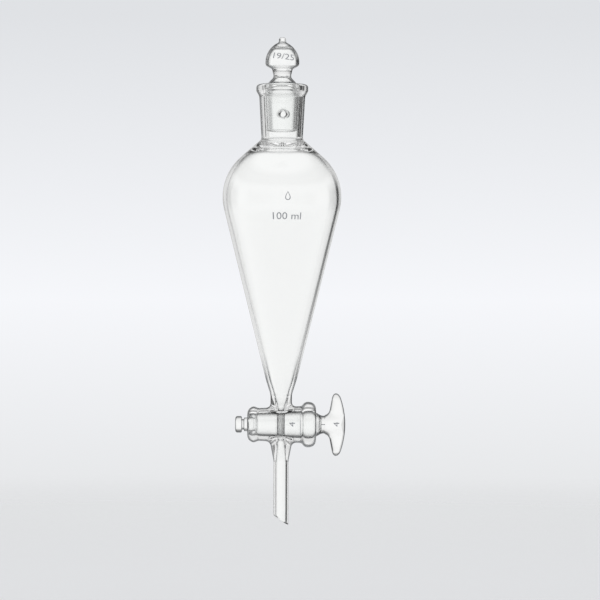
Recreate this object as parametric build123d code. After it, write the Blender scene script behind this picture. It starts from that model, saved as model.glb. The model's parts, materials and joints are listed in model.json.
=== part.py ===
from build123d import *
from math import acos, cos, degrees, radians, sin
import os

# Separatory funnel, pear shape, 100 ml, with a ground stopper and a ground glass stopcock.
# Millimetres, +Z up. Heights here are counted from the stopcock's plug axis, which runs along X.
# Each exported piece is then lowered so that the origin is the centre of the ring seat: the circle
# on the cone of the bowl that rests in a support ring.

RING_SEAT_DIAMETER = 50.0
GROUND_TAPER = 0.05       # radius change per length of a 1:10 ground joint
GROUND_CLEARANCE = 0.04   # radial gap in both ground joints

# Bowl: straight cone, one large arc over the widest place, straight shoulder, inside a dome
WALL = 1.7
CONE_ANGLE = 14.0         # half angle of the cone
BULGE_RADIUS = 27.0       # outer radius of the large arc
BULGE_CENTRE_R = 3.3
BULGE_CENTRE_Z = 116.0
SHOULDER_ANGLE = 41.0     # of the shoulder's outside to the horizontal
DOME_RADIUS = 27.6        # inside, where the bowl closes in under the neck
DOME_CENTRE_Z = 115.4
NECK_FLARE_RADIUS = 2.5
BOWL_BOTTOM_Z = 17.0
BOWL_TOP_Z = 148.2

# Neck socket: ground bore and rim bead
SOCKET_TOP_Z = 173.3
SOCKET_BORE_TOP_R = 9.45
SOCKET_BASE_R = 10.6
SOCKET_UPPER_R = 11.8
SOCKET_UPPER_Z = 167.2
RIM_BEAD_R = 13.3
RIM_BEAD_BOTTOM_Z = 170.0

# Vent: a small hole in the socket wall and one in the stopper, turned slightly apart
VENT_Z = 157.6
SOCKET_VENT_DIAMETER = 2.5
SOCKET_VENT_TURN = 2.5    # degrees from the front, towards +X
STOPPER_VENT_DIAMETER = 2.8
STOPPER_VENT_TURN = 6.0

# Stopper: hollow cone, waist, collar and onion knob
STOPPER_BOTTOM_Z = 149.5
STOPPER_CONE_TOP_Z = 173.0
STOPPER_WALL = 1.6
WAIST_R = 4.3
WAIST_Z = 177.2
COLLAR_R = 5.3
KNOB_BOTTOM_Z = 181.2
KNOB_R = 8.7
KNOB_WIDEST_Z = 184.7
KNOB_DOME_RADIUS = 10.9
KNOB_WALL = 1.0
KNOB_CAVITY_TOP_Z = 191.9
CONE_CAVITY_TOP_Z = 177.3
CAVITY_LINK_R = 1.1       # narrow bore between the cavities of cone and knob
TIP_R = 1.8
TIP_TOP_Z = 197.4

# Stopcock barrel: tapered shell with a rounded bead at each end, wide end towards +X
BARREL_LEFT_X = -17.4
BARREL_RIGHT_X = 17.9
BARREL_MID_R = 8.95
BARREL_BORE_MID_R = 6.5
LEFT_BEAD_R = 9.3
LEFT_BEAD_WIDTH = 4.9
RIGHT_BEAD_R = 11.65
RIGHT_BEAD_WIDTH = 6.2
PORT_DIAMETER = 4.0

# Throat: the cone narrows faster below TAPER_Z, down to the waist of the inlet arm
TAPER_Z = 22.5
ARM_WAIST_Z = 15.3
THROAT_R = 3.2
THROAT_Z = 13.5

# Stopcock arms and stem
ARM_R = 5.5
ARM_FOOT_R = 6.7
OUTLET_R = 5.7
OUTLET_BOTTOM_Z = -21.0
STEM_R = 3.8
STEM_BORE_R = 2.6
STEM_SHORT_Z = -46.2      # where the oblique tip ends on the -X side
STEM_LONG_Z = -51.3       # and on the +X side

# Plug
PLUG_SMALL_END_X = -13.7
PLUG_LARGE_END_X = 16.8
PLUG_SHOULDER_R = 6.4
PLUG_SHOULDER_END_X = 20.6
TAIL_R = 3.5
TAIL_GROOVE_R = 2.7
TAIL_GROOVE_LEFT_X = -20.0
TAIL_GROOVE_RIGHT_X = -18.9
TAIL_BUTTON_R = 4.25
TAIL_END_X = -23.4
PLUG_NECK_R = 4.55
HANDLE_LEFT_X = 22.8
HANDLE_RIGHT_X = 32.7
HANDLE_HALF_HEIGHT = 16.1
HANDLE_HALF_THICKNESS = 3.6
HANDLE_TIP_OVERRUN = 4.0  # the oval section runs past the tips, which leaves them blunt


def cone_r(z, offset=0.0):
    """Radius of the bowl's straight cone at height z, offset inwards from its outer surface."""
    angle = radians(CONE_ANGLE)
    reach = BULGE_RADIUS - offset + (z - BULGE_CENTRE_Z) * sin(angle)
    return BULGE_CENTRE_R + reach / cos(angle)


def shoulder_z(r):
    """Height of the bowl's straight shoulder at radius r."""
    angle = radians(SHOULDER_ANGLE)
    return BULGE_CENTRE_Z + (BULGE_RADIUS - (r - BULGE_CENTRE_R) * sin(angle)) / cos(angle)


def bulge_corner():
    """Where the lines of the cone and the shoulder would meet without the large arc."""
    half = radians(90 - SHOULDER_ANGLE + CONE_ANGLE) / 2
    reach = BULGE_RADIUS / cos(half)
    angle = half - radians(CONE_ANGLE)
    return (BULGE_CENTRE_R + reach * cos(angle), BULGE_CENTRE_Z + reach * sin(angle))


def bowl_inner():
    """Inner outline of the bowl: throat, cone, dome, flare and the bottom of the neck's bore."""
    angle = radians(CONE_ANGLE)
    rise = DOME_CENTRE_Z - BULGE_CENTRE_Z
    centre_r = BULGE_CENTRE_R + (BULGE_RADIUS - WALL - DOME_RADIUS + rise * sin(angle)) / cos(angle)
    flare_r = socket_bore_r(BOWL_TOP_Z) + NECK_FLARE_RADIUS
    reach = DOME_RADIUS + NECK_FLARE_RADIUS
    top_angle = acos((flare_r - centre_r) / reach)
    flare_z = DOME_CENTRE_Z + reach * sin(top_angle)
    sweep = degrees(top_angle)
    dome = CenterArc((centre_r, DOME_CENTRE_Z), DOME_RADIUS, -CONE_ANGLE, CONE_ANGLE + sweep)
    flare = CenterArc((flare_r, flare_z), NECK_FLARE_RADIUS, 180 + sweep, -sweep)
    cone = FilletPolyline(
        (throat_inner_r(BOWL_BOTTOM_Z), BOWL_BOTTOM_Z),
        (cone_r(TAPER_Z, WALL), TAPER_Z),
        dome @ 0,
        radius=20.0,
    )
    bore = Line(flare @ 1, (socket_bore_r(BOWL_TOP_Z), BOWL_TOP_Z))
    return [cone, dome, flare, bore]


def throat_outer_r(z):
    """Outer radius of the throat between the inlet arm's waist and TAPER_Z."""
    rise = (z - ARM_WAIST_Z) / (TAPER_Z - ARM_WAIST_Z)
    return ARM_R + (cone_r(TAPER_Z) - ARM_R) * rise


def throat_inner_r(z):
    """Inner radius of the throat between THROAT_Z and TAPER_Z."""
    rise = (z - THROAT_Z) / (TAPER_Z - THROAT_Z)
    return THROAT_R + (cone_r(TAPER_Z, WALL) - THROAT_R) * rise


def socket_bore_r(z):
    return SOCKET_BORE_TOP_R - GROUND_TAPER * (SOCKET_TOP_Z - z)


def barrel_r(x):
    return BARREL_MID_R + GROUND_TAPER * x


def barrel_bore_r(x):
    return BARREL_BORE_MID_R + GROUND_TAPER * x


def turned_about_z(outline):
    """Revolve a closed outline of (radius, height) about the funnel's axis."""
    return revolve(Plane.XZ * make_face(outline), Axis.Z)


def turned_about_x(outline):
    """Revolve a closed outline of (x, radius) about the plug's axis."""
    return revolve(Plane.XZ * make_face(outline), Axis.X)


def rounded(points, radii):
    """A closed outline with the given radius at each of its corners."""
    return FilletPolyline(*points, radius=radii, close=True)


def walled(outer, inner):
    """The closed outline between two open ones, joined by straight lines at their ends."""
    return [outer, inner, Line(outer @ 0, inner @ 0), Line(outer @ 1, inner @ 1)]


def front_hole(diameter, turn, inner_r, outer_r):
    """A radial drill at the vent's height, turned about Z from the front (-Y) towards +X."""
    length = outer_r - inner_r
    drill = Cylinder(diameter / 2, length)
    radial = Pos(0, -(inner_r + length / 2), VENT_Z) * Rot(90, 0, 0)
    return Rot(0, 0, turn) * radial * drill


def make_bowl():
    neck_r = SOCKET_BASE_R
    outer = FilletPolyline(
        (throat_outer_r(BOWL_BOTTOM_Z), BOWL_BOTTOM_Z),
        (cone_r(TAPER_Z), TAPER_Z),
        bulge_corner(),
        (neck_r, shoulder_z(neck_r)),
        (neck_r, BOWL_TOP_Z),
        radius=[20.0, BULGE_RADIUS, 2.2],
    )
    inner = bowl_inner()
    bottom = Line(outer @ 0, inner[0] @ 0)
    top = Line(outer @ 1, inner[-1] @ 1)
    return turned_about_z([outer, *inner, bottom, top])


def make_neck_socket():
    bottom_bore_r = socket_bore_r(BOWL_TOP_Z)
    outline = rounded(
        [
            (bottom_bore_r, BOWL_TOP_Z),
            (SOCKET_BASE_R, BOWL_TOP_Z),
            (SOCKET_UPPER_R, SOCKET_UPPER_Z),
            (RIM_BEAD_R, RIM_BEAD_BOTTOM_Z),
            (RIM_BEAD_R, SOCKET_TOP_Z),
            (SOCKET_BORE_TOP_R, SOCKET_TOP_Z),
        ],
        [0, 0, 3.0, 1.2, 1.5, 0.5],
    )
    vent = front_hole(SOCKET_VENT_DIAMETER, SOCKET_VENT_TURN, bottom_bore_r / 2, RIM_BEAD_R)
    return turned_about_z(outline) - vent


def stopper_outer():
    """Outer outline of the stopper, from the open bottom rim to the top of the tip."""
    cone_bottom_r = socket_bore_r(STOPPER_BOTTOM_Z) - GROUND_CLEARANCE
    cone_top_r = socket_bore_r(STOPPER_CONE_TOP_Z) - GROUND_CLEARANCE
    body = FilletPolyline(
        (cone_bottom_r, STOPPER_BOTTOM_Z),
        (cone_top_r, STOPPER_CONE_TOP_Z),
        (7.2, STOPPER_CONE_TOP_Z + 1.2),
        (WAIST_R, WAIST_Z),
        (COLLAR_R, KNOB_BOTTOM_Z),
        (KNOB_R, KNOB_BOTTOM_Z + 1.8),
        (KNOB_R, KNOB_WIDEST_Z),
        radius=[1.0, 1.2, 2.2, 0.8, 2.0],
    )
    dome_centre_r = KNOB_R - KNOB_DOME_RADIUS
    tip_angle = radians(66)
    tip_foot_r = dome_centre_r + KNOB_DOME_RADIUS * cos(tip_angle)
    tip_foot_z = KNOB_WIDEST_Z + KNOB_DOME_RADIUS * sin(tip_angle)
    dome = ThreePointArc(
        (KNOB_R, KNOB_WIDEST_Z),
        (
            dome_centre_r + KNOB_DOME_RADIUS * cos(tip_angle / 2),
            KNOB_WIDEST_Z + KNOB_DOME_RADIUS * sin(tip_angle / 2),
        ),
        (tip_foot_r, tip_foot_z),
    )
    tip = FilletPolyline(
        (tip_foot_r, tip_foot_z),
        (TIP_R, tip_foot_z + 0.6),
        (TIP_R, TIP_TOP_Z),
        (0, TIP_TOP_Z),
        radius=[0.5, 1.2],
    )
    return [body, dome, tip]


def stopper_inner():
    """Inner outline of the stopper, from the open bottom rim to the top of the knob's cavity."""
    wall = STOPPER_WALL + GROUND_CLEARANCE
    knob_floor_z = KNOB_BOTTOM_Z + 0.2
    knob_r = KNOB_R - KNOB_WALL
    body = FilletPolyline(
        (socket_bore_r(STOPPER_BOTTOM_Z) - wall, STOPPER_BOTTOM_Z),
        (socket_bore_r(STOPPER_CONE_TOP_Z - 2.0) - wall, STOPPER_CONE_TOP_Z - 2.0),
        (WAIST_R - 0.4, CONE_CAVITY_TOP_Z - 1.6),
        (WAIST_R - 1.9, CONE_CAVITY_TOP_Z),
        (CAVITY_LINK_R, CONE_CAVITY_TOP_Z),
        (CAVITY_LINK_R, knob_floor_z),
        (COLLAR_R - 0.3, knob_floor_z),
        (knob_r, KNOB_BOTTOM_Z + 2.2),
        (knob_r, KNOB_WIDEST_Z),
        radius=[3.0, 1.5, 1.0, 0.2, 0.2, 1.0, 1.3],
    )
    dome_centre_r = KNOB_R - KNOB_DOME_RADIUS
    dome_radius = KNOB_DOME_RADIUS - KNOB_WALL
    top_angle = radians(41)
    top_r = dome_centre_r + dome_radius * cos(top_angle)
    top_z = KNOB_WIDEST_Z + dome_radius * sin(top_angle)
    dome = ThreePointArc(
        (knob_r, KNOB_WIDEST_Z),
        (
            dome_centre_r + dome_radius * cos(top_angle / 2),
            KNOB_WIDEST_Z + dome_radius * sin(top_angle / 2),
        ),
        (top_r, top_z),
    )
    top = FilletPolyline(
        (top_r, top_z),
        (4.3, KNOB_CAVITY_TOP_Z),
        (0, KNOB_CAVITY_TOP_Z),
        radius=0.9,
    )
    return [body, dome, top]


def make_stopper():
    outer = stopper_outer()
    inner = stopper_inner()
    bottom = Line(outer[0] @ 0, inner[0] @ 0)
    axis = Line((0, KNOB_CAVITY_TOP_Z), (0, TIP_TOP_Z))
    stopper = turned_about_z([*outer, *inner, bottom, axis])
    vent = front_hole(STOPPER_VENT_DIAMETER, STOPPER_VENT_TURN, WAIST_R, RIM_BEAD_R)
    return stopper - vent


def barrel_envelope():
    """The barrel's outer shape as a solid, with no bore."""
    left_base_x = BARREL_LEFT_X + LEFT_BEAD_WIDTH + 1.0
    right_base_x = BARREL_RIGHT_X - RIGHT_BEAD_WIDTH - 1.2
    outline = rounded(
        [
            (BARREL_LEFT_X, 0),
            (BARREL_LEFT_X, LEFT_BEAD_R),
            (BARREL_LEFT_X + LEFT_BEAD_WIDTH, LEFT_BEAD_R),
            (left_base_x, barrel_r(left_base_x)),
            (right_base_x, barrel_r(right_base_x)),
            (BARREL_RIGHT_X - RIGHT_BEAD_WIDTH + 0.4, RIGHT_BEAD_R),
            (BARREL_RIGHT_X, RIGHT_BEAD_R),
            (BARREL_RIGHT_X, 0),
        ],
        [0, 2.8, 1.6, 1.0, 1.2, 2.8, 3.4, 0],
    )
    return turned_about_x(outline)


def make_stopcock_barrel():
    overrun = 1.0
    left = BARREL_LEFT_X - overrun
    right = BARREL_RIGHT_X + overrun
    bore = turned_about_x(
        Polyline(
            (left, 0),
            (left, barrel_bore_r(left)),
            (right, barrel_bore_r(right)),
            (right, 0),
            close=True,
        )
    )
    ports = Cylinder(PORT_DIAMETER / 2, 4 * BARREL_MID_R)
    return barrel_envelope() - bore - ports


def make_inlet_arm():
    port_r = PORT_DIAMETER / 2
    outer = FilletPolyline(
        (throat_outer_r(BOWL_BOTTOM_Z), BOWL_BOTTOM_Z),
        (ARM_R, ARM_WAIST_Z),
        (ARM_R, 11.2),
        (ARM_FOOT_R, BARREL_MID_R),
        (ARM_FOOT_R, 0),
        radius=[4.0, 2.0, 1.5],
    )
    inner = FilletPolyline(
        (throat_inner_r(BOWL_BOTTOM_Z), BOWL_BOTTOM_Z),
        (THROAT_R, THROAT_Z),
        (port_r, BARREL_MID_R + 0.6),
        (port_r, 0),
        radius=[3.0, 2.0],
    )
    return turned_about_z(walled(outer, inner)) - barrel_envelope()


def make_outlet_arm():
    port_r = PORT_DIAMETER / 2
    outer = FilletPolyline(
        (ARM_FOOT_R, 0),
        (ARM_FOOT_R, -BARREL_MID_R),
        (OUTLET_R, -11.0),
        (STEM_R, -19.0),
        (STEM_R, OUTLET_BOTTOM_Z),
        radius=[1.5, 3.0, 6.0],
    )
    inner = FilletPolyline(
        (port_r, 0),
        (port_r, -11.0),
        (STEM_BORE_R, -18.0),
        (STEM_BORE_R, OUTLET_BOTTOM_Z),
        radius=[8.0, 8.0],
    )
    return turned_about_z(walled(outer, inner)) - barrel_envelope()


def make_drip_stem():
    length = OUTLET_BOTTOM_Z - STEM_LONG_Z
    middle_z = (OUTLET_BOTTOM_Z + STEM_LONG_Z) / 2
    tube = Cylinder(STEM_R, length) - Cylinder(STEM_BORE_R, length)
    drop = STEM_SHORT_Z - STEM_LONG_Z
    cut = Plane(
        origin=(0, 0, (STEM_SHORT_Z + STEM_LONG_Z) / 2),
        x_dir=(2 * STEM_R, 0, -drop),
        z_dir=(drop, 0, 2 * STEM_R),
    )
    return split(Pos(0, 0, middle_z) * tube, bisect_by=cut, keep=Keep.TOP)


def handle():
    """Flat wing handle: an outline seen along Y, cut to an oval seen along X."""
    half_outline = [
        (HANDLE_LEFT_X - 1.0, PLUG_NECK_R - 0.4),
        (HANDLE_LEFT_X, PLUG_NECK_R - 0.2),
        (HANDLE_LEFT_X + 2.1, 8.0),
        (HANDLE_LEFT_X + 3.4, HANDLE_HALF_HEIGHT),
        (HANDLE_RIGHT_X - 2.5, HANDLE_HALF_HEIGHT),
        (HANDLE_RIGHT_X, 3.5),
    ]
    mirrored = [(x, -z) for x, z in reversed(half_outline)]
    radii = [0, 1.0, 4.0, 1.6, 2.2, 12.0]
    outline = rounded(half_outline + mirrored, radii + radii[::-1])
    slab = extrude(Plane.XZ * make_face(outline), 1.5 * HANDLE_HALF_THICKNESS, both=True)
    oval = Ellipse(HANDLE_HALF_THICKNESS, HANDLE_HALF_HEIGHT + HANDLE_TIP_OVERRUN)
    prism = extrude(Plane.YZ * oval, 2 * HANDLE_RIGHT_X)
    wing = slab & prism
    rim = wing.edges().filter_by(lambda edge: edge.center().X > HANDLE_LEFT_X + 0.5)
    return fillet(rim, 1.2)


def make_stopcock_plug():
    small_r = barrel_bore_r(PLUG_SMALL_END_X) - GROUND_CLEARANCE
    large_r = barrel_bore_r(PLUG_LARGE_END_X) - GROUND_CLEARANCE
    outline = rounded(
        [
            (TAIL_END_X, 0),
            (TAIL_END_X, TAIL_BUTTON_R),
            (TAIL_GROOVE_LEFT_X, TAIL_BUTTON_R),
            (TAIL_GROOVE_LEFT_X, TAIL_GROOVE_R),
            (TAIL_GROOVE_RIGHT_X, TAIL_GROOVE_R),
            (TAIL_GROOVE_RIGHT_X, TAIL_R),
            (PLUG_SMALL_END_X, TAIL_R),
            (PLUG_SMALL_END_X, small_r),
            (PLUG_LARGE_END_X, large_r),
            (PLUG_LARGE_END_X + 0.6, PLUG_SHOULDER_R),
            (PLUG_SHOULDER_END_X, PLUG_NECK_R),
            (HANDLE_LEFT_X + 2.0, PLUG_NECK_R),
            (HANDLE_LEFT_X + 2.0, 0),
        ],
        [0, 1.2, 0.7, 0.4, 0.4, 0.3, 0.6, 0.6, 0.4, 0.6, 3.0, 0, 0],
    )
    cross_bore = Cylinder(PORT_DIAMETER / 2, 4 * BARREL_MID_R)
    return turned_about_x(outline) + handle() - cross_bore


ring_seat_z = BULGE_CENTRE_Z + (
    (RING_SEAT_DIAMETER / 2 - BULGE_CENTRE_R) * cos(radians(CONE_ANGLE)) - BULGE_RADIUS
) / sin(radians(CONE_ANGLE))

pieces = {
    "neck_socket": make_neck_socket(),
    "bowl": make_bowl(),
    "inlet_arm": make_inlet_arm(),
    "stopcock_barrel": make_stopcock_barrel(),
    "outlet_arm": make_outlet_arm(),
    "drip_stem": make_drip_stem(),
    "stopper": make_stopper(),
    "stopcock_plug": make_stopcock_plug(),
}

os.makedirs("parts", exist_ok=True)
for name, piece in pieces.items():
    export_step(Pos(0, 0, -ring_seat_z) * piece, f"parts/{name}.step")
print(f"ring seat is {ring_seat_z:.2f} mm above the plug axis")
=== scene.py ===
import json
import math

import bmesh
import bpy
import numpy as np
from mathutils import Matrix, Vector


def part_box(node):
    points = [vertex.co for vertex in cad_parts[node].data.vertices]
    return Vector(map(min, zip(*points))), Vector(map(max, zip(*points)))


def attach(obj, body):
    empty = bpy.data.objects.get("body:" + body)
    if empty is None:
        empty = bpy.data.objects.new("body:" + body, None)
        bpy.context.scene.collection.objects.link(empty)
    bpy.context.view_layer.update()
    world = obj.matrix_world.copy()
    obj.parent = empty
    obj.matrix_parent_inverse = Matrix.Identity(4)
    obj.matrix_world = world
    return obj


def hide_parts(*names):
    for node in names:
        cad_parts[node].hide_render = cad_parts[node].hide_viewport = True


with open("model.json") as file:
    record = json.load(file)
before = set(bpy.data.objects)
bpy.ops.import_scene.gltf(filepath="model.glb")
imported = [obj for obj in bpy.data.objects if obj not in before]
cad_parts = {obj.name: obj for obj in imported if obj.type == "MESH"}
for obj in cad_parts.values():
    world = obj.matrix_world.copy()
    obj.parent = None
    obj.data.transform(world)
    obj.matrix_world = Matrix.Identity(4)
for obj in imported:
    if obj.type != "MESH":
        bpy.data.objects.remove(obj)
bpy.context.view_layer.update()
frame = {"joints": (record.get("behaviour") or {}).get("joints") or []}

# All shapes are made in millimetres, counted from the middle of the stopcock's plug axis:
# X along the plug towards its handle, Z up along the funnel, -Y towards the front.

MM = 0.001
JOINTS = {joint["name"]: joint for joint in frame["joints"]}
PLUG_AXIS = np.array(JOINTS["stopcock_turn"]["pos_m"])


def node_box(name):
    """Lowest and highest corner of a CAD node, in mm from the middle of the plug axis."""
    low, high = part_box(name)
    return (np.array(low) - PLUG_AXIS) / MM, (np.array(high) - PLUG_AXIS) / MM


BOWL_HIGH = node_box("bowl")[1]
SOCKET_HIGH = node_box("neck_socket")[1]
STOPPER_LOW, STOPPER_HIGH = node_box("stopper")
BARREL_LOW, BARREL_HIGH = node_box("stopcock_barrel")
STEM_LOW, STEM_HIGH = node_box("drip_stem")
PLUG_LOW, PLUG_HIGH = node_box("stopcock_plug")

# Ground joints
TAPER = 0.05              # radius change per length
CLEARANCE = 0.04

# Bowl
WALL = 1.7
CONE_ANGLE = math.radians(14.0)
BULGE_RADIUS = 27.0
BULGE_CENTRE_R = BOWL_HIGH[0] - BULGE_RADIUS
BULGE_CENTRE_Z = 116.0
TAPER_Z = 22.5            # the cone narrows faster below
SHOULDER_ANGLE = math.radians(41.0)
DOME_RADIUS = 27.6        # inside, where the bowl closes in under the neck
DOME_CENTRE_Z = 115.4
NECK_FLARE_RADIUS = 2.5

# Socket
SOCKET_TOP_Z = SOCKET_HIGH[2]
SOCKET_BORE_TOP_R = 9.45
SOCKET_BASE_R = 10.6
SOCKET_UPPER_R = 11.8
RIM_BEAD_R = SOCKET_HIGH[0]
RIM_BEAD_BOTTOM_Z = SOCKET_TOP_Z - 3.3
BORE_TOP_Z = SOCKET_TOP_Z - 1
VENT_Z = 157.6
VENT_REACH = 4.6          # half height of the band of wall around the vent holes
SOCKET_VENT_R = 1.25
SOCKET_VENT_TURN = math.radians(2.5)
SOCKET_VENT_LIP = 2.4     # width over which the hole's edge is rounded
STOPPER_VENT_R = 1.4
STOPPER_VENT_TURN = math.radians(6.0)
STOPPER_VENT_LIP = 1.6

# Stopper
STOPPER_BOTTOM_Z = STOPPER_LOW[2]
STOPPER_CONE_TOP_Z = 173.0
STOPPER_SHOULDER_R = 7.2
STOPPER_WALL = 1.6
WAIST_R = 4.3
WAIST_Z = 177.2
COLLAR_R = 5.3
KNOB_BOTTOM_Z = 181.2
KNOB_R = 8.7
KNOB_WIDEST_Z = 184.7
KNOB_DOME_RADIUS = 10.9
KNOB_WALL = 1.0
KNOB_CAVITY_TOP_Z = 191.9
KNOB_CAVITY_ANGLE = math.radians(41)    # how far the domed top of its hollow reaches up
CONE_CAVITY_TOP_Z = 177.3
TIP_ANGLE = math.radians(66)            # where the tip grows out of the knob's dome
TIP_R = 1.8
TIP_TOP_Z = STOPPER_HIGH[2]

# Stopcock
BARREL_LEFT_X = BARREL_LOW[0]
BARREL_RIGHT_X = BARREL_HIGH[0]
BARREL_MID_R = 8.95
BARREL_BORE_R = 6.5
LEFT_BEAD_R = 9.3
LEFT_BEAD_WIDTH = 4.9
RIGHT_BEAD_R = BARREL_HIGH[1]
RIGHT_BEAD_WIDTH = 6.2
PORT_R = 2.0
ARM_R = 5.5
ARM_WAIST_Z = 14.0
THROAT_R = 3.2
OUTLET_R = 5.7
STEM_TOP_Z = -18.6
STEM_R = STEM_HIGH[1]
STEM_BORE_R = 2.6
STEM_SHORT_Z = -46.2
STEM_LONG_Z = STEM_LOW[2]
FUSED_TOP_Z = 19.0        # the fused stopcock is one blended shape between these heights
FUSED_BOTTOM_Z = -20.5
BARREL_END_BLEND = 4.4    # blends are the widths over which two surfaces run into each other
ARM_BLEND = 2.4
BORE_BLEND = 0.3
BORE_LIP = 0.7

# Plug
PLUG_SMALL_END_X = -13.7
PLUG_LARGE_END_X = 16.8
PLUG_MIDDLE_HALF = 3.6    # half length of the blended shape around the cross bore
TAIL_END_X = PLUG_LOW[0]
TAIL_GROOVE_LEFT_X = TAIL_END_X + 3.4
TAIL_GROOVE_RIGHT_X = TAIL_END_X + 4.5
TAIL_BUTTON_R = 4.25
TAIL_GROOVE_R = 2.7
TAIL_R = 3.5
PLUG_SHOULDER_R = 6.4
PLUG_SHOULDER_END_X = 20.6
PLUG_NECK_R = 4.55
PLUG_NECK_END_X = 22.0    # the handle's blended shape begins here
HANDLE_LEFT_X = 23.0      # its left face leans to the right by HANDLE_LEAN per mm up or down
HANDLE_LEAN = 0.19
HANDLE_RIGHT_X = PLUG_HIGH[0] - 0.02
HANDLE_HALF_HEIGHT = PLUG_HIGH[2]
HANDLE_HALF_THICKNESS = 3.5
HANDLE_FACE_RADIUS = 42.0  # of the handle's right face
HANDLE_OVAL_REACH = 22.0  # the thickness would fall to nothing this far up and down
HANDLE_EDGE_BLEND = 2.2
HANDLE_TIP_BLEND = 3.2
HANDLE_SIDE_BLEND = 2.6
HANDLE_NECK_BLEND = 4.0

# Mesh making
SEAM_GAP = 0.3            # height of the strip that joins a blended patch to a turned band
SEAM_MARGIN = 0.05        # points of a path nearer than this to a cut are left out
PATCH_CELL = 0.36
FINE_CELL = 0.3


# Outlines ----------------------------------------------------------------------------------------

def fillet_path(corners, radii, run=3.0, turn=math.radians(6)):
    """Points along a path of straight runs through corners, with an arc of the given radius at each
    inner corner. Runs are divided into steps of about run, arcs into steps of about turn."""
    corners = [np.array(c, float) for c in corners]
    points = [corners[0]]

    def straight_to(target):
        length = np.linalg.norm(target - points[-1])
        steps = max(1, round(length / run))
        start = points[-1]
        for k in range(1, steps + 1):
            points.append(start + (target - start) * k / steps)

    for before, corner, after, radius in zip(corners, corners[1:], corners[2:], radii):
        into = (corner - before) / np.linalg.norm(corner - before)
        out = (after - corner) / np.linalg.norm(after - corner)
        cross = into[0] * out[1] - into[1] * out[0]
        angle = math.atan2(cross, into @ out)
        reach = radius * abs(math.tan(angle / 2))
        start = corner - into * reach
        straight_to(start)
        side = np.array([-into[1], into[0]]) * math.copysign(1.0, angle)
        centre = start + side * radius
        steps = max(2, math.ceil(abs(angle) / turn))
        for k in range(1, steps + 1):
            c, s = math.cos(angle * k / steps), math.sin(angle * k / steps)
            arm = start - centre
            points.append(centre + np.array([c * arm[0] - s * arm[1], s * arm[0] + c * arm[1]]))
    straight_to(corners[-1])
    return np.array(points)


def arc(centre, radius, start, end, turn=math.radians(6)):
    """Points on an arc from one angle to another."""
    steps = max(2, math.ceil(abs(end - start) / turn))
    angles = np.linspace(start, end, steps + 1)
    return np.array(centre) + radius * np.stack([np.cos(angles), np.sin(angles)], 1)


def radius_at(path, along):
    """The radius of a path of (radius, place) at places along the axis."""
    order = np.argsort(path[:, 1], kind="stable")
    return np.interp(along, path[order, 1], path[order, 0])


def between(path, start, end):
    """The part of a path of (radius, place) from one place to another, in that order."""
    low, high = sorted((start, end))
    inside = path[(path[:, 1] > low + SEAM_MARGIN) & (path[:, 1] < high - SEAM_MARGIN)]
    ends = [[radius_at(path, place), place] for place in (start, end)]
    if (inside[-1, 1] - inside[0, 1]) * (end - start) < 0:
        inside = inside[::-1]
    return np.vstack([ends[:1], inside, ends[1:]])


def up_to(path, end):
    """The part of a path of (radius, place) from its beginning up to a place."""
    return np.vstack([path[path[:, 1] < end - SEAM_MARGIN], [[radius_at(path, end), end]]])


def on_from(path, start):
    """The part of a path of (radius, place) from a place on to its end."""
    return np.vstack([[[radius_at(path, start), start]], path[path[:, 1] > start + SEAM_MARGIN]])


def cone_r(z, offset=0.0):
    """Radius of the bowl's straight cone at height z, offset inwards from its outer surface."""
    reach = BULGE_RADIUS - offset + (z - BULGE_CENTRE_Z) * math.sin(CONE_ANGLE)
    return BULGE_CENTRE_R + reach / math.cos(CONE_ANGLE)


def shoulder_z(r):
    """Height of the bowl's straight shoulder at radius r."""
    reach = BULGE_RADIUS - (r - BULGE_CENTRE_R) * math.sin(SHOULDER_ANGLE)
    return BULGE_CENTRE_Z + reach / math.cos(SHOULDER_ANGLE)


def bulge_corner():
    """Where the lines of the cone and the shoulder would meet without the large arc."""
    half = (math.pi / 2 - SHOULDER_ANGLE + CONE_ANGLE) / 2
    reach = BULGE_RADIUS / math.cos(half)
    angle = half - CONE_ANGLE
    return (BULGE_CENTRE_R + reach * math.cos(angle), BULGE_CENTRE_Z + reach * math.sin(angle))


def dome_centre():
    """Centre of the inner dome, which runs on from the inside of the cone."""
    gap = BULGE_RADIUS - WALL - DOME_RADIUS
    rise = DOME_CENTRE_Z - BULGE_CENTRE_Z
    centre_r = BULGE_CENTRE_R + (gap + rise * math.sin(CONE_ANGLE)) / math.cos(CONE_ANGLE)
    return (centre_r, DOME_CENTRE_Z)


def socket_bore_r(z):
    """Radius of the socket's ground bore at height z."""
    return SOCKET_BORE_TOP_R - TAPER * (SOCKET_TOP_Z - z)


def body_outer_path():
    """Outside of the funnel from the inlet arm to the rim's inner edge."""
    return fillet_path(
        [
            (ARM_R, 0),
            (ARM_R, ARM_WAIST_Z + 1.3),
            (cone_r(TAPER_Z), TAPER_Z),
            bulge_corner(),
            (SOCKET_BASE_R, shoulder_z(SOCKET_BASE_R)),
            (SOCKET_UPPER_R, RIM_BEAD_BOTTOM_Z - 2.8),
            (RIM_BEAD_R, RIM_BEAD_BOTTOM_Z),
            (RIM_BEAD_R, SOCKET_TOP_Z),
            (SOCKET_BORE_TOP_R, SOCKET_TOP_Z),
            (socket_bore_r(BORE_TOP_Z), BORE_TOP_Z),
        ],
        [7.0, 20.0, BULGE_RADIUS, 2.2, 3.0, 1.2, 1.5, 0.5],
    )


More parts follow.
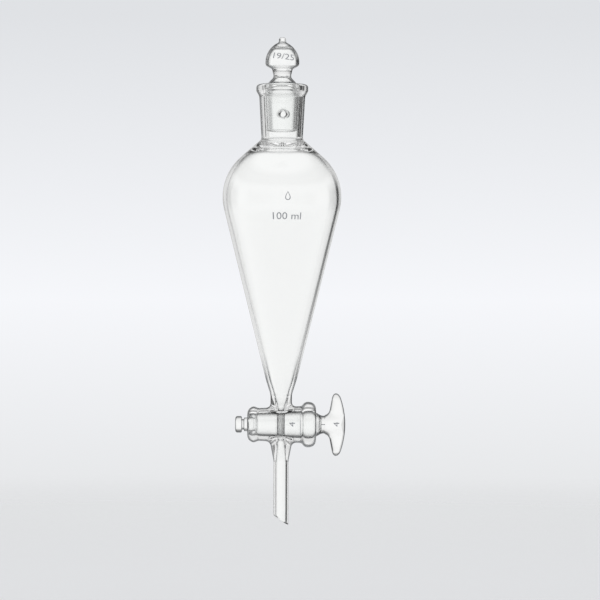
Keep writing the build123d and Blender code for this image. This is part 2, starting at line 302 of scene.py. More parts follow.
def body_inner_path():
    """Inside of the funnel from the stopcock's port to just under the rim."""
    seal_z = ARM_WAIST_Z + 0.6
    centre_r, centre_z = dome_centre()
    neck_r = socket_bore_r(centre_z + DOME_RADIUS)
    flare_r = neck_r + NECK_FLARE_RADIUS
    top_angle = math.acos((flare_r - centre_r) / (DOME_RADIUS + NECK_FLARE_RADIUS))
    flare_z = centre_z + (DOME_RADIUS + NECK_FLARE_RADIUS) * math.sin(top_angle)
    dome = arc((centre_r, centre_z), DOME_RADIUS, -CONE_ANGLE, top_angle)
    flare = arc((flare_r, flare_z), NECK_FLARE_RADIUS, top_angle + math.pi, math.pi)
    cone = fillet_path(
        [
            (PORT_R, 0),
            (PORT_R, BARREL_MID_R + 0.4),
            (THROAT_R, seal_z - 0.9),
            (THROAT_R + 0.15, seal_z),
            (cone_r(TAPER_Z, WALL), TAPER_Z),
            dome[0],
        ],
        [3.0, 0.8, 0.6, 18.0],
    )
    bore = fillet_path([flare[-1], (socket_bore_r(BORE_TOP_Z), BORE_TOP_Z)], [])
    return np.vstack([cone, dome[1:], flare[1:], bore[1:]])


def outlet_outer_path():
    """Outside of the outlet arm and the stem, going down."""
    return fillet_path(
        [(OUTLET_R, 0), (OUTLET_R, -BARREL_MID_R), (STEM_R, STEM_TOP_Z), (STEM_R, STEM_LONG_Z)],
        [3.0, 7.0],
    )


def outlet_inner_path():
    """Bore of the outlet arm and the stem, going down."""
    return fillet_path(
        [(PORT_R, 0), (PORT_R, -11.0), (STEM_BORE_R, -18.0), (STEM_BORE_R, STEM_LONG_Z)],
        [8.0, 8.0],
    )


def stopper_outer_path():
    """Outside of the stopper from its bottom rim to the top of the tip."""
    cone_bottom_r = socket_bore_r(STOPPER_BOTTOM_Z) - CLEARANCE
    cone_top_r = socket_bore_r(STOPPER_CONE_TOP_Z) - CLEARANCE
    body = fillet_path(
        [
            (cone_bottom_r - 0.7, STOPPER_BOTTOM_Z),
            (cone_bottom_r, STOPPER_BOTTOM_Z),
            (cone_top_r, STOPPER_CONE_TOP_Z),
            (STOPPER_SHOULDER_R, STOPPER_CONE_TOP_Z + 1.2),
            (WAIST_R, WAIST_Z),
            (COLLAR_R, KNOB_BOTTOM_Z),
            (KNOB_R, KNOB_BOTTOM_Z + 1.8),
            (KNOB_R, KNOB_WIDEST_Z),
        ],
        [0.6, 1.0, 1.2, 2.2, 0.8, 2.0],
    )
    centre = (KNOB_R - KNOB_DOME_RADIUS, KNOB_WIDEST_Z)
    dome = arc(centre, KNOB_DOME_RADIUS, 0, TIP_ANGLE)[1:]
    foot = dome[-1]
    tip = fillet_path(
        [foot, (TIP_R, foot[1] + 0.6), (TIP_R, TIP_TOP_Z), (0, TIP_TOP_Z)],
        [0.5, 1.2],
    )[1:]
    return np.vstack([body, dome, tip])


def stopper_inner_path():
    """Inside of the stopper's cone from its bottom rim to the top of the domed cavity."""
    wall = STOPPER_WALL + CLEARANCE
    rim_r = socket_bore_r(STOPPER_BOTTOM_Z)
    closing_z = STOPPER_CONE_TOP_Z - 2.0
    closing_r = socket_bore_r(closing_z) - wall
    return fillet_path(
        [
            (rim_r - CLEARANCE - 0.8, STOPPER_BOTTOM_Z),
            (rim_r - wall, STOPPER_BOTTOM_Z),
            (closing_r, closing_z),
            (WAIST_R - 0.4, CONE_CAVITY_TOP_Z - 1.6),
            (WAIST_R - 1.9, CONE_CAVITY_TOP_Z),
            (0, CONE_CAVITY_TOP_Z),
        ],
        [0.6, 3.0, 1.5, 1.2],
    )[1:]


def knob_cavity_path():
    """The closed hollow of the knob, from the middle of its floor to its top."""
    floor_z = KNOB_BOTTOM_Z + 0.2
    side = fillet_path(
        [
            (0, floor_z),
            (COLLAR_R - 0.3, floor_z),
            (KNOB_R - KNOB_WALL, KNOB_BOTTOM_Z + 2.2),
            (KNOB_R - KNOB_WALL, KNOB_WIDEST_Z),
        ],
        [1.0, 1.3],
    )
    centre = (KNOB_R - KNOB_DOME_RADIUS, KNOB_WIDEST_Z)
    dome = arc(centre, KNOB_DOME_RADIUS - KNOB_WALL, 0, KNOB_CAVITY_ANGLE)[1:]
    top = fillet_path([dome[-1], (4.3, KNOB_CAVITY_TOP_Z), (0, KNOB_CAVITY_TOP_Z)], [0.9])[1:]
    return np.vstack([side, dome, top])


def barrel_path():
    """Outside of the barrel as (radius, x), without the rounding of its two ends."""
    left_x = BARREL_LEFT_X + LEFT_BEAD_WIDTH
    right_x = BARREL_RIGHT_X - RIGHT_BEAD_WIDTH
    return fillet_path(
        [
            (LEFT_BEAD_R - 0.3, BARREL_LEFT_X - 1),
            (LEFT_BEAD_R, left_x - 1.5),
            (barrel_r(left_x + 1.0), left_x + 1.0),
            (barrel_r(right_x - 1.4), right_x - 1.4),
            (RIGHT_BEAD_R, right_x + 0.4),
            (RIGHT_BEAD_R, BARREL_RIGHT_X + 1),
        ],
        [1.8, 1.6, 1.6, 3.0],
    )


def barrel_r(x):
    """Outer radius of the tapered barrel between its beads."""
    return BARREL_MID_R + TAPER * x


def barrel_bore_r(x):
    """Radius of the barrel's ground bore."""
    return BARREL_BORE_R + TAPER * x


def plug_path():
    """Outside of the plug as (radius, x), from the end of the tail to the handle's neck."""
    return fillet_path(
        [
            (0, TAIL_END_X),
            (TAIL_BUTTON_R, TAIL_END_X),
            (TAIL_BUTTON_R, TAIL_GROOVE_LEFT_X),
            (TAIL_GROOVE_R, TAIL_GROOVE_LEFT_X),
            (TAIL_GROOVE_R, TAIL_GROOVE_RIGHT_X),
            (TAIL_R, TAIL_GROOVE_RIGHT_X),
            (TAIL_R, PLUG_SMALL_END_X),
            (barrel_bore_r(PLUG_SMALL_END_X) - CLEARANCE, PLUG_SMALL_END_X),
            (barrel_bore_r(PLUG_LARGE_END_X) - CLEARANCE, PLUG_LARGE_END_X),
            (PLUG_SHOULDER_R, PLUG_LARGE_END_X + 0.6),
            (PLUG_NECK_R, PLUG_SHOULDER_END_X),
            (PLUG_NECK_R, HANDLE_LEFT_X),
        ],
        [1.2, 0.7, 0.4, 0.4, 0.3, 0.6, 0.6, 0.4, 0.6, 3.0],
    )


# Blended shapes: functions that are negative inside the solid ------------------------------------

def blend_min(a, b, k):
    """The smaller of two distances, with a smooth change of width k: joins two solids."""
    h = np.maximum(k - np.abs(a - b), 0) / k
    return np.minimum(a, b) - h * h * k / 4


def blend_max(a, b, k):
    """The larger of two distances, with a smooth change of width k: cuts one solid by another."""
    return -blend_min(-a, -b, k)


def fused_stopcock(p):
    """Barrel with both arms and their bores, as one piece of glass."""
    x, y, z = p[..., 0], p[..., 1], p[..., 2]
    from_z = np.hypot(x, y)
    from_x = np.hypot(y, z)
    middle = (BARREL_LEFT_X + BARREL_RIGHT_X) / 2
    half = (BARREL_RIGHT_X - BARREL_LEFT_X) / 2
    side = from_x - radius_at(BARREL_PATH, x)
    barrel = blend_max(side, np.abs(x - middle) - half, BARREL_END_BLEND)
    inlet = np.maximum(from_z - radius_at(BODY_OUTER, z), -z)
    outlet = np.maximum(from_z - radius_at(OUTLET_OUTER, z), z)
    solid = blend_min(blend_min(barrel, inlet, ARM_BLEND), outlet, ARM_BLEND)
    passage = np.where(z > 0, radius_at(BODY_INNER, z), radius_at(OUTLET_INNER, z))
    hollow = blend_min(from_x - barrel_bore_r(x), from_z - passage, BORE_BLEND)
    return blend_max(solid, -hollow, BORE_LIP)


def vented_wall(outer_path, inner_path, hole_r, turn, lip):
    """A band of turned wall with a round hole at the front, its edges softened by lip."""
    def field(p):
        x, y, z = p[..., 0], p[..., 1], p[..., 2]
        from_z = np.hypot(x, y)
        wall = np.maximum(from_z - radius_at(outer_path, z), radius_at(inner_path, z) - from_z)
        across = x * math.cos(turn) + y * math.sin(turn)
        ahead = x * math.sin(turn) - y * math.cos(turn)
        hole = np.where(ahead > 0, np.hypot(across, z - VENT_Z) - hole_r, 1e3)
        return blend_max(wall, -hole, lip)
    return field


def plug_middle(p):
    """The ground cone of the plug around its cross bore."""
    x, y, z = p[..., 0], p[..., 1], p[..., 2]
    cone = np.hypot(y, z) - barrel_bore_r(x) + CLEARANCE
    return blend_max(cone, PORT_R - np.hypot(x, y), BORE_BLEND)


def plug_handle(p):
    """The flat wing handle growing out of the plug's neck."""
    x, y, z = p[..., 0], p[..., 1], p[..., 2]
    outer_face = np.hypot(x - HANDLE_RIGHT_X + HANDLE_FACE_RADIUS, z) - HANDLE_FACE_RADIUS
    inner_face = 0.98 * (HANDLE_LEFT_X + 0.3 + HANDLE_LEAN * np.abs(z) - x)
    wing = blend_max(outer_face, inner_face, HANDLE_EDGE_BLEND)
    wing = blend_max(wing, np.abs(z) - HANDLE_HALF_HEIGHT - 0.5, HANDLE_TIP_BLEND)
    plate = np.abs(y) - HANDLE_HALF_THICKNESS * np.sqrt(1 - (z / HANDLE_OVAL_REACH) ** 2)
    wing = blend_max(wing, plate, HANDLE_SIDE_BLEND)
    neck_r = PLUG_NECK_R - 0.22 * np.maximum(x - 22.5, 0)
    neck = np.maximum(np.hypot(y, z) - neck_r, x - 29.0)
    return blend_min(wing, neck, HANDLE_NECK_BLEND)


# Mesh making -------------------------------------------------------------------------------------

class Skin:
    """A closed surface collected from turned bands, blended patches and the strips between them."""

    def __init__(self):
        self.points = []
        self.faces = []
        self.count = 0
        self.hollow_from = None    # points from here on belong to a closed hollow

    def add(self, points, faces):
        """Adds points and faces, and gives the number of the first new point."""
        first = self.count
        self.points.append(np.asarray(points, float))
        self.faces += [tuple(int(i) + first for i in face) for face in faces]
        self.count += len(points)
        return first

    def turned(self, path, axis, segments=128, shear=None):
        """A band turned about the x or z axis from a path of (radius, place along the axis).
        A first or last point on the axis closes the band there. Gives the two end rings."""
        angles = np.arange(segments) * 2 * math.pi / segments
        rings = []
        for r, along in path:
            if r < 1e-6:
                point = [[along, 0, 0]] if axis == "x" else [[0, 0, along]]
                start = self.add(point, [])
                rings.append([start])
                continue
            a, b = r * np.cos(angles), r * np.sin(angles)
            level = np.full(segments, along)
            if shear is not None:
                level = level + shear(a, along)
            columns = (level, a, b) if axis == "x" else (a, b, level)
            start = self.add(np.stack(columns, 1), [])
            rings.append(list(range(start, start + segments)))
        for low, high in zip(rings, rings[1:]):
            for k in range(segments):
                n = (k + 1) % segments
                if len(low) == 1:
                    self.faces.append((low[0], high[k], high[n]))
                elif len(high) == 1:
                    self.faces.append((low[k], low[n], high[0]))
                else:
                    self.faces.append((low[k], low[n], high[n], high[k]))
        return rings[0], rings[-1]

    def zip_rings(self, one, two, axis):
        """A strip of triangles between two rings about the same axis, whatever their counts."""
        points = np.concatenate(self.points)

        def by_angle(ring):
            p = points[ring]
            u, v = (p[:, 1], p[:, 2]) if axis == "x" else (p[:, 0], p[:, 1])
            angle = np.arctan2(v, u)
            order = np.argsort(angle)
            return [ring[i] for i in order], angle[order]

        ring_a, angle_a = by_angle(one)
        ring_b, angle_b = by_angle(two)
        n, m = len(ring_a), len(ring_b)
        turn = 2 * math.pi
        i = j = 0
        while i < n or j < m:
            next_a = angle_a[(i + 1) % n] + turn * ((i + 1) // n) if i < n else math.inf
            next_b = angle_b[(j + 1) % m] + turn * ((j + 1) // m) if j < m else math.inf
            if next_a <= next_b:
                self.faces.append((ring_a[i], ring_a[(i + 1) % n], ring_b[j % m]))
                i += 1
            else:
                self.faces.append((ring_a[i % n], ring_b[(j + 1) % m], ring_b[j]))
                j += 1

    def patch(self, field, low, high, step, axis, cuts):
        """The surface where field is zero inside a box, open where it crosses the cut planes.
        cuts is a list of (place along axis, radii of the rings there), and the rings are given in
        the same order."""
        points, faces = surface(field, low, high, step)
        first = self.add(points, faces)
        column = 0 if axis == "x" else 2
        others = [1, 2] if axis == "x" else [0, 1]
        edges = {}
        for face in faces:
            for a, b in zip(face, face[1:] + face[:1]):
                key = (a, b) if a < b else (b, a)
                edges[key] = edges.get(key, 0) + 1
        rim = np.array(sorted({i for key, n in edges.items() if n == 1 for i in key}))
        rings = []
        for place, radii in cuts:
            near = rim[np.abs(points[rim, column] - place) < 1.5 * step]
            distance = np.linalg.norm(points[near][:, others], axis=1)
            nearest = np.argmin(np.abs(distance[:, None] - np.array(radii)[None]), axis=1)
            for k, radius in enumerate(radii):
                ring = near[nearest == k]
                scale = radius / distance[nearest == k]
                block = self.points[-1]
                block[ring[:, None], others] *= scale[:, None]
                block[ring, column] = place
                rings.append([int(i) + first for i in ring])
        return rings

    def finish(self, name):
        """The mesh in metres in the shared frame, with its faces turned out of the glass."""
        mesh = bpy.data.meshes.new(name)
        points = np.concatenate(self.points) * MM + PLUG_AXIS
        mesh.from_pydata(points.tolist(), [], self.faces)
        shell = bmesh.new()
        shell.from_mesh(mesh)
        bmesh.ops.recalc_face_normals(shell, faces=shell.faces)
        if self.hollow_from is not None:
            hollow = [f for f in shell.faces if f.verts[0].index >= self.hollow_from]
            bmesh.ops.reverse_faces(shell, faces=hollow)
        open_edges = [e for e in shell.edges if len(e.link_faces) != 2]
        print(f"{name}: {len(shell.faces)} faces, {len(open_edges)} edges not between two faces")
        shell.to_mesh(mesh)
        shell.free()
        mesh.shade_smooth()
        return mesh


def surface(field, low, high, step):
    """Points and four-sided faces of the surface where field is zero, one point for each cell of a
    grid that the surface passes, then moved exactly onto it."""
    low, high = np.array(low, float), np.array(high, float)
    cells = np.ceil((high - low) / step).astype(int)
    ticks = [np.linspace(low[k], high[k], cells[k] + 1) for k in range(3)]
    grid = np.stack(np.meshgrid(*ticks, indexing="ij"), -1)
    value = field(grid)
    total = np.zeros((cells.prod(), 3))
    number = np.zeros(cells.prod())
    quads = []
    for axis in range(3):
        size = list(value.shape)
        size[axis] -= 1
        start = tuple(slice(0, n) for n in size)
        end = tuple(slice(1, None) if k == axis else slice(None) for k in range(3))
        a, b = value[start], value[end]
        index = np.argwhere((a < 0) != (b < 0))
        key = tuple(index.T)
        share = (a[key] / (a[key] - b[key]))[:, None]
        crossing = grid[start][key] * (1 - share) + grid[end][key] * share
        u, v = [k for k in range(3) if k != axis]
        corners = []
        inside_all = np.ones(len(index), bool)
        for du, dv in ((-1, -1), (0, -1), (0, 0), (-1, 0)):
            cell = index.copy()
            cell[:, u] += du
            cell[:, v] += dv
            inside = np.all((cell >= 0) & (cell < cells), axis=1)
            flat = np.ravel_multi_index(tuple(np.clip(cell, 0, cells - 1).T), cells)
            for k in range(3):
                total[:, k] += np.bincount(flat[inside], crossing[inside, k], len(total))
            number += np.bincount(flat[inside], minlength=len(number))
            corners.append(flat)
            inside_all &= inside
        quads.append(np.stack(corners, 1)[inside_all])
    used = number > 0
    points = total[used] / number[used, None]
    rank = np.cumsum(used) - 1
    for _ in range(5):
        points = points - step_to_surface(field, points)
    faces = [tuple(q) for q in rank[np.vstack(quads)].tolist()]
    return points, faces


def step_to_surface(field, points, reach=0.02):
    """How far each point lies from the surface, along the field's slope."""
    slope = np.zeros_like(points)
    for k in range(3):
        shift = np.zeros(3)
        shift[k] = reach
        slope[:, k] = (field(points + shift) - field(points - shift)) / (2 * reach)
    steepness = np.maximum((slope ** 2).sum(1), 0.05)
    return slope * (np.clip(field(points), -0.2, 0.2) / steepness)[:, None]


def add_piece(name, mesh, body, material, replaces=()):
    """A visible piece that rides on a body and stands in for the named CAD nodes."""
    piece = bpy.data.objects.new(name, mesh)
    bpy.context.scene.collection.objects.link(piece)
    mesh.materials.clear()
    mesh.materials.append(material)
    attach(piece, body)
    if replaces:
        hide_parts(*replaces)
    return piece


BODY_OUTER = body_outer_path()
BODY_INNER = body_inner_path()
OUTLET_OUTER = outlet_outer_path()
OUTLET_INNER = outlet_inner_path()
STOPPER_OUTER = stopper_outer_path()
STOPPER_INNER = stopper_inner_path()
BARREL_PATH = barrel_path()
PLUG_PATH = plug_path()


def vent_band(skin, outer_path, inner_path, hole_r, turn, lip):
    """Adds the band of wall around a vent hole, and gives its four rings:
    low outer, low inner, high outer, high inner."""
    low_z, high_z = VENT_Z - VENT_REACH, VENT_Z + VENT_REACH
    reach = radius_at(outer_path, high_z) + 1.0
    cuts = [(z, [radius_at(outer_path, z), radius_at(inner_path, z)]) for z in (low_z, high_z)]
    field = vented_wall(outer_path, inner_path, hole_r, turn, lip)
    low, high = (-reach, -reach, low_z), (reach, reach, high_z)
    return skin.patch(field, low, high, PATCH_CELL, "z", cuts)


def beside_vent():
    """The heights where the turned bands under and over the vent's band end."""
    return VENT_Z - VENT_REACH - SEAM_GAP, VENT_Z + VENT_REACH + SEAM_GAP


def funnel_mesh():
    """The whole funnel body as one closed glass surface."""
    skin = Skin()
    low_z, high_z = beside_vent()
    bottom, top = FUSED_BOTTOM_Z - SEAM_GAP, FUSED_TOP_Z + SEAM_GAP
    bowl_out = skin.turned(between(BODY_OUTER, top, low_z), "z")
    bowl_in = skin.turned(between(BODY_INNER, top, low_z), "z")
    rim_outside = on_from(BODY_OUTER, high_z)[:-1]
    rim_path = np.vstack([rim_outside, between(BODY_INNER, BORE_TOP_Z, high_z)])
    rim = skin.turned(rim_path, "z")
    hole = (SOCKET_VENT_R, SOCKET_VENT_TURN, SOCKET_VENT_LIP)
    vent = vent_band(skin, BODY_OUTER, BODY_INNER, *hole)
    for one, two in zip(vent, (bowl_out[1], bowl_in[1], rim[0], rim[1])):
        skin.zip_rings(one, two, "z")
    stem = skin.turned(stem_path(bottom), "z", 96, tip_shear)
    cuts = [
        (FUSED_TOP_Z, [radius_at(BODY_OUTER, FUSED_TOP_Z), radius_at(BODY_INNER, FUSED_TOP_Z)]),
        (FUSED_BOTTOM_Z, [STEM_R, STEM_BORE_R]),
    ]
    low = (BARREL_LEFT_X - 0.8, -RIGHT_BEAD_R - 0.8, FUSED_BOTTOM_Z)
    high = (BARREL_RIGHT_X + 0.8, RIGHT_BEAD_R + 0.8, FUSED_TOP_Z)
    fused = skin.patch(fused_stopcock, low, high, PATCH_CELL, "z", cuts)
    for one, two in zip(fused, (bowl_out[0], bowl_in[0], stem[0], stem[1])):
        skin.zip_rings(one, two, "z")
    return skin.finish("funnel_glass")


def stem_path(start_z):
    """Outside of the stem, around its lip and back up the bore, as if its end were square."""
    middle_z = (STEM_SHORT_Z + STEM_LONG_Z) / 2
    return fillet_path(
        [(STEM_R, start_z), (STEM_R, middle_z), (STEM_BORE_R, middle_z), (STEM_BORE_R, start_z)],
        [0.45, 0.45],
    )


def tip_shear(x, z):
    """Slants the end of the stem: the rings sink towards +X, more the nearer they are to the tip."""
    middle_z = (STEM_SHORT_Z + STEM_LONG_Z) / 2
    share = np.clip((z - FUSED_BOTTOM_Z) / (middle_z - FUSED_BOTTOM_Z), 0, 1)
    return x / STEM_R * (STEM_LONG_Z - STEM_SHORT_Z) / 2 * share ** 3


def stopper_mesh():
    """The hollow stopper, with the closed hollow of its knob."""
    skin = Skin()
    low_z, high_z = beside_vent()
    outer, inner = STOPPER_OUTER, STOPPER_INNER
    bottom = skin.turned(np.vstack([up_to(outer, low_z)[::-1], up_to(inner, low_z)]), "z")
    top_out = skin.turned(on_from(outer, high_z), "z")
    top_in = skin.turned(on_from(inner, high_z), "z")
    hole = (STOPPER_VENT_R, STOPPER_VENT_TURN, STOPPER_VENT_LIP)
    vent = vent_band(skin, outer[2:], inner[2:], *hole)
    for one, two in zip(vent, (bottom[0], bottom[1], top_out[0], top_in[0])):
        skin.zip_rings(one, two, "z")
    skin.hollow_from = skin.count
    skin.turned(knob_cavity_path(), "z")
    return skin.finish("stopper_glass")


def plug_mesh():
    """The plug with its cross bore, tail and handle."""
    skin = Skin()
    half, neck_x = PLUG_MIDDLE_HALF, PLUG_NECK_END_X
    tail = skin.turned(up_to(PLUG_PATH, -half - SEAM_GAP), "x")
    shank = skin.turned(between(PLUG_PATH, half + SEAM_GAP, neck_x - SEAM_GAP), "x")
    cuts = [(x, [barrel_bore_r(x) - CLEARANCE]) for x in (-half, half)]
    reach = BARREL_BORE_R + 1.0
    low, high = (-half, -reach, -reach), (half, reach, reach)
    middle = skin.patch(plug_middle, low, high, FINE_CELL, "x", cuts)
    skin.zip_rings(middle[0], tail[1], "x")
    skin.zip_rings(middle[1], shank[0], "x")
    low = (neck_x, -PLUG_NECK_R - 1.0, -HANDLE_HALF_HEIGHT - 0.7)
    high = (HANDLE_RIGHT_X + 0.7, PLUG_NECK_R + 1.0, HANDLE_HALF_HEIGHT + 0.7)
    handle = skin.patch(plug_handle, low, high, PATCH_CELL, "x", [(neck_x, [PLUG_NECK_R])])
    skin.zip_rings(handle[0], shank[1], "x")
    return skin.finish("plug_glass")


# Materials ---------------------------------------------------------------------------------------

CLEAR_GLASS = (0.992, 0.997, 0.994, 1.0)
OUTLINE_SHADE_COLOUR = (0.025, 0.028, 0.030, 1.0)    # painted shade: mixed into the glass's colour where it faces away from the eye, for its dark outlines
GLASS_IOR = 1.474

# Outlines, painted shade: the glass's colour turns dark between these two amounts of facing away
# from the eye
TUBE_OUTLINE = (0.38, 0.64)
NECK_OUTLINE = (0.46, 0.66)
STEM_OUTLINE = (0.55, 0.85)
BOWL_OUTLINE = (0.74, 0.92)
SHOULDER_OUTLINE = (0.56, 0.86)
GROUND_BORE_OUTLINE = (0.12, 0.62)
KNOB_OUTLINE = (0.36, 0.66)
GROUND_CONE_OUTLINE = (0.14, 0.50)
PLUG_OUTLINE = (0.28, 0.66)
PLUG_ENDS_OUTLINE = (0.18, 0.50)

# Zones of the funnel, in mm
BOWL_ZONE = (30, 142)
SHOULDER_ZONE = (128, 141)
ZONE_FADE = 6
NECK_ZONE_Z = 145
STEM_ZONE_Z = -19
GROUND_BORE_ZONE_R = 7.6
NECK_INSIDE_Z = 143
NECK_INSIDE_R = 9.9
PLUG_ENDS_R = 18.5        # from the funnel's axis

class Nodes:
    """Short calls for building a node tree."""

    def __init__(self, tree):
        self.tree = tree
        tree.nodes.clear()

    def add(self, kind, *inputs, **settings):
        """A node with its settings; inputs are linked or set in order, and None is left alone."""
        node = self.tree.nodes.new(kind)
        for key, value in settings.items():
            setattr(node, key, value)
        for socket, value in zip(node.inputs, inputs):
            self.set(socket, value)
        return node

    def set(self, socket, value):
        if isinstance(value, bpy.types.NodeSocket):
            self.tree.links.new(value, socket)
        elif value is not None:
            socket.default_value = value

    def math(self, operation, *inputs):
        return self.add("ShaderNodeMath", *inputs, operation=operation).outputs[0]

    def ramp(self, factor, stops):
        """A colour ramp; stops are (position, colour), and a single number is a grey."""
        node = self.add("ShaderNodeValToRGB", factor)
        elements = node.color_ramp.elements
        while len(elements) < len(stops):
            elements.new(0.5)
        for element, (position, colour) in zip(elements, stops):
            element.position = position
            rgb = (colour,) * 3 if isinstance(colour, (int, float)) else colour
            element.color = (*rgb, 1.0)
        return node.outputs[0]

    def mix(self, factor, one, two, blend="MIX"):
        node = self.add("ShaderNodeMix", data_type="RGBA", blend_type=blend)
        self.set(node.inputs["Factor"], factor)
        self.set(node.inputs[6], one)
        self.set(node.inputs[7], two)
        return node.outputs[2]


def in_zone(nodes, level, zone):
    """1 where the level is in a zone given in mm, fading to 0 at both ends."""
    low, high = (place * MM for place in zone)
    soft = ZONE_FADE * MM
    above = nodes.add("ShaderNodeMapRange", level, low - soft, low + soft)
    below = nodes.add("ShaderNodeMapRange", level, high + soft, high - soft)
    return nodes.math("MINIMUM", above.outputs["Result"], below.outputs["Result"])


def painted_edge_shade(nodes, facing, outline):
    """How much painted shade darkens the glass: 0 on glass that faces the eye, rising to 1 over the
    outline's range.
    """
    node = nodes.add("ShaderNodeMapRange", facing, *outline, interpolation_type="SMOOTHSTEP")
    return node.outputs["Result"]


def blend_numbers(nodes, factor, one, two):
    """One where the factor is 0, two where it is 1."""
    node = nodes.add("ShaderNodeMix", factor, data_type="FLOAT")
    nodes.set(node.inputs[2], one)
    nodes.set(node.inputs[3], two)
    return node.outputs[0]


def glass_shader(nodes, grey, roughness=0.0):
    """Clear borosilicate glass whose colour grey mixes towards a dark grey: painted shade for its
    dark outlines.
    """
    shader = nodes.add("ShaderNodeBsdfPrincipled")
    # painted shade: the glass's colour goes dark where grey is high
    nodes.set(shader.inputs["Base Color"], nodes.mix(grey, CLEAR_GLASS, OUTLINE_SHADE_COLOUR))
    nodes.set(shader.inputs["Roughness"], roughness)
    shader.inputs["IOR"].default_value = GLASS_IOR
    shader.inputs["Transmission Weight"].default_value = 1.0
    nodes.add("ShaderNodeOutputMaterial", shader.outputs[0])


def new_material(name):
    """A material and the Nodes to fill it with."""
    material = bpy.data.materials.new(name)
    material.use_nodes = True
    return material, Nodes(material.node_tree)


def places(nodes):
    """Distance from the funnel's axis, distance from the plug's axis and height above it."""
    place = nodes.add("ShaderNodeTexCoord").outputs["Object"]
    x, y, z = nodes.add("ShaderNodeSeparateXYZ", place).outputs
    level = nodes.math("SUBTRACT", z, PLUG_AXIS[2])

    def distance(a, b):
        return nodes.math("SQRT", nodes.math("MULTIPLY_ADD", a, a, nodes.math("MULTIPLY", b, b)))

    return distance(x, y), distance(level, y), level


def funnel_material():
    """Painted shade at the outlines: the glass's colour turns grey sooner on the small tubes than on
    the wide thin bowl, soonest on the ground bore of the stopcock, and only outside on the neck."""
    material, nodes = new_material("funnel_borosilicate")
    facing = nodes.add("ShaderNodeLayerWeight").outputs["Facing"]
    from_z, from_x, level = places(nodes)
    zones = [
        (nodes.math("GREATER_THAN", level, NECK_ZONE_Z * MM), NECK_OUTLINE),
        (nodes.math("LESS_THAN", level, STEM_ZONE_Z * MM), STEM_OUTLINE),
        (in_zone(nodes, level, BOWL_ZONE), BOWL_OUTLINE),
        (in_zone(nodes, level, SHOULDER_ZONE), SHOULDER_OUTLINE),
        (nodes.math("LESS_THAN", from_x, GROUND_BORE_ZONE_R * MM), GROUND_BORE_OUTLINE),
    ]
    grey = painted_edge_shade(nodes, facing, TUBE_OUTLINE)
    for zone, outline in zones:
        grey = blend_numbers(nodes, zone, grey, painted_edge_shade(nodes, facing, outline))
    above = nodes.math("GREATER_THAN", level, NECK_INSIDE_Z * MM)
    within = nodes.math("LESS_THAN", from_z, NECK_INSIDE_R * MM)
    elsewhere = nodes.math("SUBTRACT", 1.0, nodes.math("MULTIPLY", above, within))
    # painted shade: grey darkens the glass's colour at its outlines, except inside the neck
    glass_shader(nodes, nodes.math("MULTIPLY", grey, elsewhere))
    return material


def stopper_material():
    """Painted shade at the outlines: the knob's outline is painted dark, and the ground cone inside
    the socket turns only a little grey.
    """
    material, nodes = new_material("stopper_borosilicate")
    facing = nodes.add("ShaderNodeLayerWeight").outputs["Facing"]
    level = places(nodes)[2]
    knob = nodes.math("GREATER_THAN", level, STOPPER_CONE_TOP_Z * MM)
    cone_grey = nodes.math("MULTIPLY", painted_edge_shade(nodes, facing, GROUND_CONE_OUTLINE), 0.42)
    knob_grey = painted_edge_shade(nodes, facing, KNOB_OUTLINE)
    # painted shade: the knob's and the cone's outlines darken the glass's colour
    glass_shader(nodes, blend_numbers(nodes, knob, cone_grey, knob_grey))
    return material


def plug_material():
    """As the others, with painted shade at the outlines, and with the matt wall of a drilled hole
    through the plug, whose colour is also made a little darker: painted shade.
    """
    material, nodes = new_material("plug_borosilicate")
    facing = nodes.add("ShaderNodeLayerWeight").outputs["Facing"]
    from_z = places(nodes)[0]
    drilled = nodes.math("LESS_THAN", from_z, (PORT_R + 0.05) * MM)
    ends = nodes.math("GREATER_THAN", from_z, PLUG_ENDS_R * MM)
    middle_grey = painted_edge_shade(nodes, facing, PLUG_OUTLINE)
    grey = blend_numbers(nodes, ends, middle_grey, painted_edge_shade(nodes, facing, PLUG_ENDS_OUTLINE))
    # painted shade: the drilled wall's colour is darkened a little, on top of its real matt
    # roughness
    grey = nodes.math("MAXIMUM", grey, nodes.math("MULTIPLY", drilled, 0.12))
    glass_shader(nodes, grey, nodes.math("MULTIPLY", drilled, 0.75))
    return material


add_piece(
    "funnel_glass", funnel_mesh(), "funnel", funnel_material(),
    ["neck_socket", "bowl", "inlet_arm", "stopcock_barrel", "outlet_arm", "drip_stem"],
)
add_piece(
    "stopper_glass", stopper_mesh(), "stopper", stopper_material(), ["stopper"],
)
add_piece("plug_glass", plug_mesh(), "plug", plug_material(), ["stopcock_plug"])


# Marks: thin enamel on the glass, on the front ---------------------------------------------------

MARK_BELOW = 0.05         # how far a mark reaches into the glass and stands out of it
MARK_ABOVE = 0.06
MARK_CELL = 0.5           # marks are divided this finely, so that they follow curved glass


def text_shape(text, width, height, turn=0.0):
    """Flat letters in the built-in font, centred, filling a width and height in mm, then turned."""
    curve = bpy.data.curves.new("text", "FONT")
    curve.body = text
    curve.resolution_u = 4
    holder = bpy.data.objects.new("text", curve)
    flat = bpy.data.meshes.new_from_object(holder)
    shape = bmesh.new()
    shape.from_mesh(flat)
    bmesh.ops.remove_doubles(shape, verts=shape.verts, dist=1e-5)
    points = np.array([v.co[:2] for v in shape.verts])
    low, high = points.min(0), points.max(0)
    scale = np.array([width, height]) / (high - low)
    c, s = math.cos(turn), math.sin(turn)
    for vert, point in zip(shape.verts, (points - (low + high) / 2) * scale):
        vert.co = (c * point[0] - s * point[1], s * point[0] + c * point[1], 0)
    bpy.data.objects.remove(holder)
    bpy.data.curves.remove(curve)
    bpy.data.meshes.remove(flat)
    return shape


